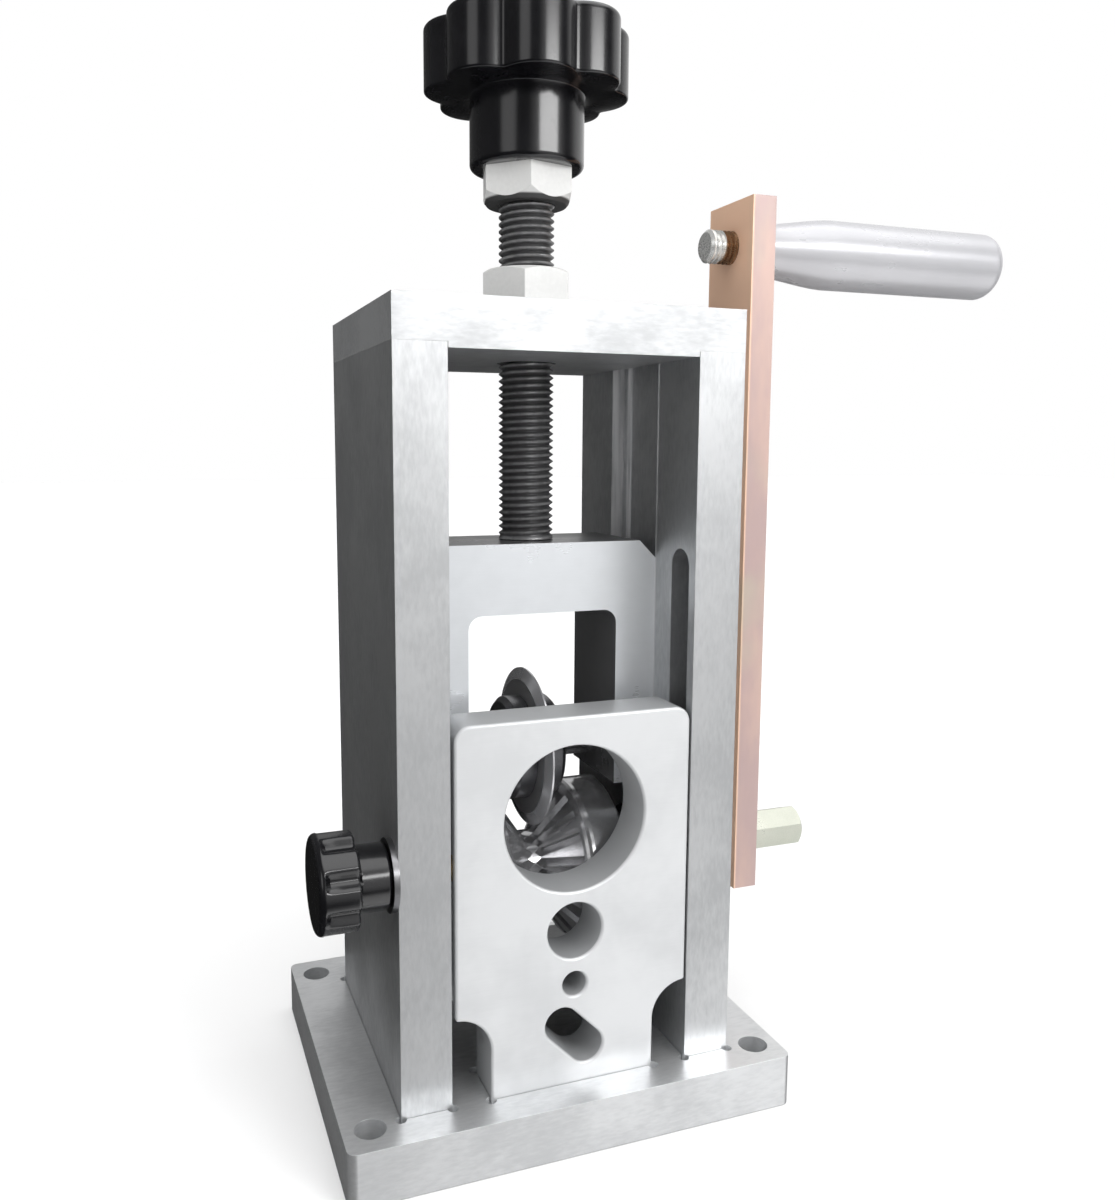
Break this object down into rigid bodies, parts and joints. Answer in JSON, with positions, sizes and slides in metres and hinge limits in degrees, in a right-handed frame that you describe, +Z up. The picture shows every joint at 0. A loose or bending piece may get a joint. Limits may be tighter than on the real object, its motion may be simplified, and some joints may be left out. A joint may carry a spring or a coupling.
{
  "type": "hand crank wire stripper",
  "caption": "Bench-top hand crank wire stripper with a screw-set cutting wheel, toothed feed roller, sliding guide plate, clamp knob and crank.",
  "frame": {"origin": "middle of the four bench bolt holes, on the base's underside", "axes": "+X to the crank side, +Y to the back where the stripped wire leaves, +Z up along the depth screw"},
  "size_m": [0.2361, 0.105, 0.3065],
  "materials": {
    "milled_aluminium": "fine milled, low sheen",
    "black_steel": "blackened alloy steel",
    "white_zinc": "white zinc plated",
    "black_oxide_screw": "oiled black oxide",
    "black_phenolic": "moulded gloss",
    "ground_steel": "ground",
    "tool_steel": "hardened, ground edge",
    "bronze": "turned bronze",
    "brass_pad": "turned brass",
    "roller_steel": "hardened and polished",
    "shaft_zinc": "pale zinc plated",
    "bearing_steel": "polished",
    "yellow_zinc": "yellow zinc plated, iridescent",
    "polished_aluminium": "polished"
  },
  "bodies": {
    "frame": {"base_plate": "milled_aluminium", "base_screws": "black_steel", "left_side_plate": "milled_aluminium", "right_side_plate": "milled_aluminium", "top_plate": "milled_aluminium", "top_plate_screws": "black_steel", "drive_nut": "white_zinc", "clamp_washer": "ground_steel", "bearing_outer_rings": "bearing_steel", "bearing_balls": "bearing_steel"},
    "carriage": {"carriage": "milled_aluminium", "screw_retaining_pins": "ground_steel", "blade_axle": "ground_steel", "axle_set_screws": "black_steel", "axle_clips": "black_steel"},
    "screw": {"depth_screw": "black_oxide_screw", "knob_lock_nut": "white_zinc", "star_knob": "black_phenolic", "knob_insert": "ground_steel"},
    "blade": {"cutting_blade": "tool_steel", "blade_flanges": "tool_steel", "flange_screws": "black_steel", "blade_bush": "bronze"},
    "guide": {"guide_plate": "milled_aluminium", "guide_pin": "ground_steel"},
    "clamp_pad": {"clamp_pad": "brass_pad"},
    "clamp_knob": {"clamp_knob": "black_phenolic", "clamp_stud": "ground_steel"},
    "crank": {"feed_roller": "roller_steel", "drive_shaft": "shaft_zinc", "roller_key": "ground_steel", "roller_spacers": "ground_steel", "shaft_ring": "black_steel", "bearing_inner_rings": "bearing_steel", "crank_spacer": "ground_steel", "crank_arm": "yellow_zinc", "crank_set_screw": "black_steel", "handle_spindle": "white_zinc", "grip_snap_ring": "black_steel"},
    "grip": {"handle_grip": "polished_aluminium", "grip_end_cap": "polished_aluminium"}
  },
  "joints": [
    {"name": "carriage_slide", "type": "slide", "parent": "frame", "child": "carriage", "axis": [0, 0, 1], "range_m": [-0.0024, 0.048]},
    {"name": "screw_turn", "type": "hinge", "parent": "carriage", "child": "screw", "pos_m": [0, -0.003, 0.164], "axis": [0, 0, 1], "range_deg": [-432, 8640]},
    {"name": "blade_spin", "type": "hinge", "parent": "carriage", "child": "blade", "pos_m": [0, -0.003, 0.101], "axis": [1, 0, 0], "continuous": true},
    {"name": "guide_slide", "type": "slide", "parent": "frame", "child": "guide", "axis": [0, 0, 1], "range_m": [0, 0.05]},
    {"name": "pad_slide", "type": "slide", "parent": "frame", "child": "clamp_pad", "axis": [1, 0, 0], "range_m": [-0.002, 0]},
    {"name": "clamp_turn", "type": "hinge", "parent": "clamp_pad", "child": "clamp_knob", "pos_m": [-0.05, -0.03525, 0.0797], "axis": [1, 0, 0], "range_deg": [-720, 0]},
    {"name": "crank_turn", "type": "hinge", "parent": "frame", "child": "crank", "pos_m": [0, -0.003, 0.064], "axis": [1, 0, 0], "continuous": true},
    {"name": "grip_spin", "type": "hinge", "parent": "crank", "child": "grip", "pos_m": [0.1, -0.003, 0.252], "axis": [1, 0, 0], "continuous": true}
  ],
  "couplings": [
    {"joint": "screw_turn", "follows": "carriage_slide", "rad_per_m": 3141.6},
    {"joint": "clamp_turn", "follows": "pad_slide", "rad_per_m": 6283.2}
  ]
}
